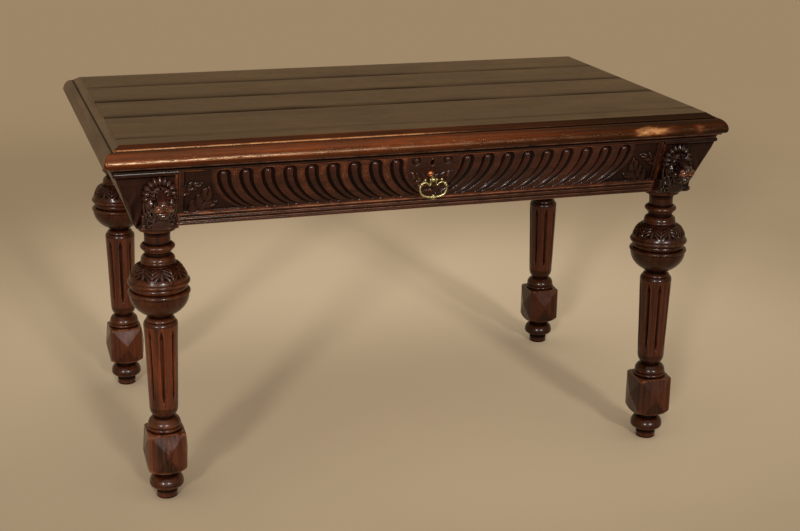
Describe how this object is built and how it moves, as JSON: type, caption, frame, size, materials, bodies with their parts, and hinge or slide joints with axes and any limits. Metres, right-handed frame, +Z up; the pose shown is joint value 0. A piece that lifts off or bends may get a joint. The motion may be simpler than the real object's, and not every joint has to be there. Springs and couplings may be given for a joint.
{
  "type": "carved writing desk",
  "caption": "Carved oak writing desk: moulded plank top, canted frieze with a gadrooned drawer and lion heads, turned and fluted legs, brass bail pull.",
  "frame": {"origin": "on the floor, under the centre of the whole object's box", "axes": "+X to the sitter's right along the desk, -Y out of the drawer's front, +Z up"},
  "size_m": [1.3, 0.8306, 0.75],
  "materials": {
    "oak_field": "sun-faded, waxed oak boards",
    "oak_moulding": "polished red-brown varnish, worn along the edges",
    "oak_frieze": "dark varnished oak",
    "oak_leg": "dark glossy varnish",
    "oak_carved": "dark varnished carving with rubbed high points",
    "oak_inner": "bare planed oak",
    "brass": "cast brass, tarnished in the hollows",
    "iron": "dull wrought iron"
  },
  "bodies": {
    "desk": {"edge_moulding_front": "oak_moulding", "edge_moulding_right": "oak_moulding", "edge_moulding_back": "oak_moulding", "edge_moulding_left": "oak_moulding", "bed_mould_front": "oak_moulding", "bed_mould_right": "oak_moulding", "bed_mould_back": "oak_moulding", "bed_mould_left": "oak_moulding", "top_board_1": "oak_field", "top_board_2": "oak_field", "top_board_3": "oak_field", "top_board_4": "oak_field", "top_board_5": "oak_field", "top_cleat_1": "oak_inner", "top_cleat_2": "oak_inner", "top_cleat_3": "oak_inner", "top_screw_1": "iron", "top_screw_2": "iron", "top_screw_3": "iron", "top_screw_4": "iron", "top_screw_5": "iron", "top_screw_6": "iron", "glue_block_left_front": "oak_inner", "glue_block_left_back": "oak_inner", "glue_block_right_front": "oak_inner", "glue_block_right_back": "oak_inner", "frieze_left": "oak_frieze", "frieze_right": "oak_frieze", "frieze_back": "oak_frieze", "front_bottom_rail": "oak_frieze", "front_top_rail": "oak_frieze", "corner_block_front_left": "oak_frieze", "corner_block_front_right": "oak_frieze", "corner_block_back_left": "oak_frieze", "corner_block_back_right": "oak_frieze", "leg_front_left": "oak_leg", "leg_front_right": "oak_leg", "leg_back_left": "oak_leg", "leg_back_right": "oak_leg", "lion_head_left": "oak_carved", "lion_head_right": "oak_carved", "drawer_runner_left": "oak_inner", "drawer_runner_right": "oak_inner", "drawer_guide_left": "oak_inner", "drawer_guide_right": "oak_inner", "drawer_kicker_left": "oak_inner", "drawer_kicker_right": "oak_inner", "drawer_stop_left": "oak_inner", "drawer_stop_right": "oak_inner"},
    "drawer": {"drawer_front": "oak_carved", "drawer_side_left": "oak_inner", "drawer_side_right": "oak_inner", "drawer_back": "oak_inner", "drawer_bottom": "oak_inner", "lock_case": "iron", "pull_post": "brass", "pull_nut": "brass"},
    "bail": {"drop_bail": "brass"},
    "bolt": {"lock_bolt": "brass"}
  },
  "joints": [
    {"name": "drawer_slide", "type": "slide", "parent": "desk", "child": "drawer", "axis": [0, -1, 0], "range_m": [0, 0.38]},
    {"name": "bail_swing", "type": "hinge", "parent": "drawer", "child": "bail", "pos_m": [0, -0.36722, 0.6496], "axis": [-1, 0, 0], "range_deg": [-35, 120]},
    {"name": "lock_bolt_slide", "type": "slide", "parent": "drawer", "child": "bolt", "axis": [0, -0.3511, 0.9363], "range_m": [0, 0.008]}
  ]
}
